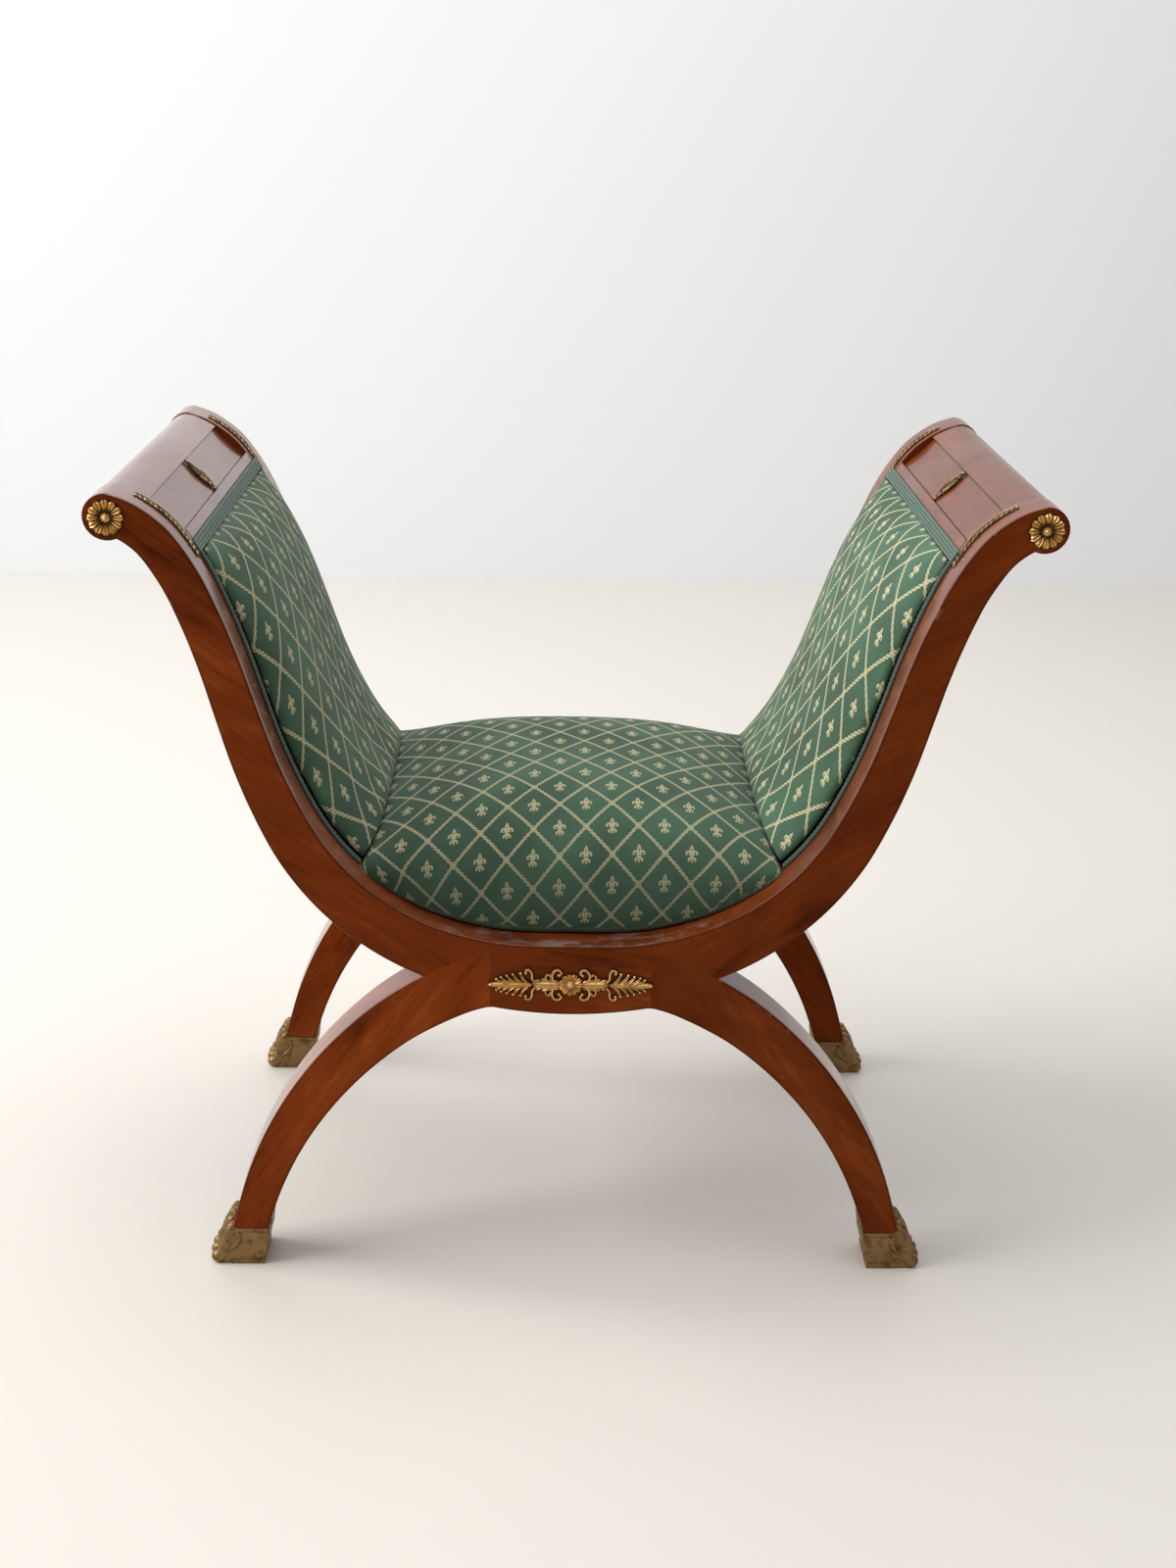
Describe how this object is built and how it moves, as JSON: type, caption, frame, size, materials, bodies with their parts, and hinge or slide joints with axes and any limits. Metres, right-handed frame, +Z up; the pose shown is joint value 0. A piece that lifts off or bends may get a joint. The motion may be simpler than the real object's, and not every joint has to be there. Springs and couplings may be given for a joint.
{
  "type": "curule bench",
  "caption": "Curule bench with X-shaped mahogany frames, scrolled ends, gilt rosettes and leaf mounts, lion-paw feet, and a domed seat and padded arms in green lattice fabric.",
  "frame": {"origin": "Centre of the bench's bounding box in plan, on the floor under the four paw feet.", "axes": "+X runs along the bench to its right-hand scrolls, +Y from the front frame to the back frame, +Z up."},
  "size_m": [0.7598, 0.4056, 0.688],
  "materials": {
    "mahogany": "polished",
    "beech": "raw",
    "jute": "woven",
    "green_fabric": "woven",
    "black_cloth": "woven",
    "green_braid": "corded",
    "gilt_bronze": "gilt",
    "old_brass": "aged"
  },
  "bodies": {
    "root": {"front_arm_left": "mahogany", "front_arm_right": "mahogany", "front_leg_left": "mahogany", "front_leg_right": "mahogany", "front_centre_block": "mahogany", "back_arm_left": "mahogany", "back_arm_right": "mahogany", "back_leg_left": "mahogany", "back_leg_right": "mahogany", "back_centre_block": "mahogany", "crest_roll_left": "mahogany", "crest_roll_right": "mahogany", "crest_panel_left": "mahogany", "crest_panel_right": "mahogany", "crest_rail_left": "mahogany", "crest_rail_right": "mahogany", "front_dowel_left": "beech", "front_dowel_right": "beech", "back_dowel_left": "beech", "back_dowel_right": "beech", "side_rail_left": "beech", "side_rail_right": "beech", "centre_rail": "beech", "front_ledger": "beech", "back_ledger": "beech", "seat_web_1": "jute", "seat_web_2": "jute", "seat_web_3": "jute", "seat_web_4": "jute", "seat_web_5": "jute", "arm_web_left_1": "jute", "arm_web_left_2": "jute", "arm_web_left_3": "jute", "arm_web_right_1": "jute", "arm_web_right_2": "jute", "arm_web_right_3": "jute", "seat_pad": "green_fabric", "arm_pad_left": "green_fabric", "arm_pad_right": "green_fabric", "outer_cover_left": "green_fabric", "outer_cover_right": "green_fabric", "bottom_cover": "black_cloth", "arm_braid_left": "green_braid", "arm_braid_right": "green_braid", "front_rosette_left": "gilt_bronze", "front_rosette_right": "gilt_bronze", "back_rosette_left": "gilt_bronze", "back_rosette_right": "gilt_bronze", "front_garland_left": "gilt_bronze", "front_garland_right": "gilt_bronze", "back_garland_left": "gilt_bronze", "back_garland_right": "gilt_bronze", "crest_leaf_left": "gilt_bronze", "crest_leaf_right": "gilt_bronze", "front_ornament": "gilt_bronze", "back_ornament": "gilt_bronze", "front_sabot_left": "old_brass", "front_sabot_right": "old_brass", "back_sabot_left": "old_brass", "back_sabot_right": "old_brass"}
  },
  "joints": []
}
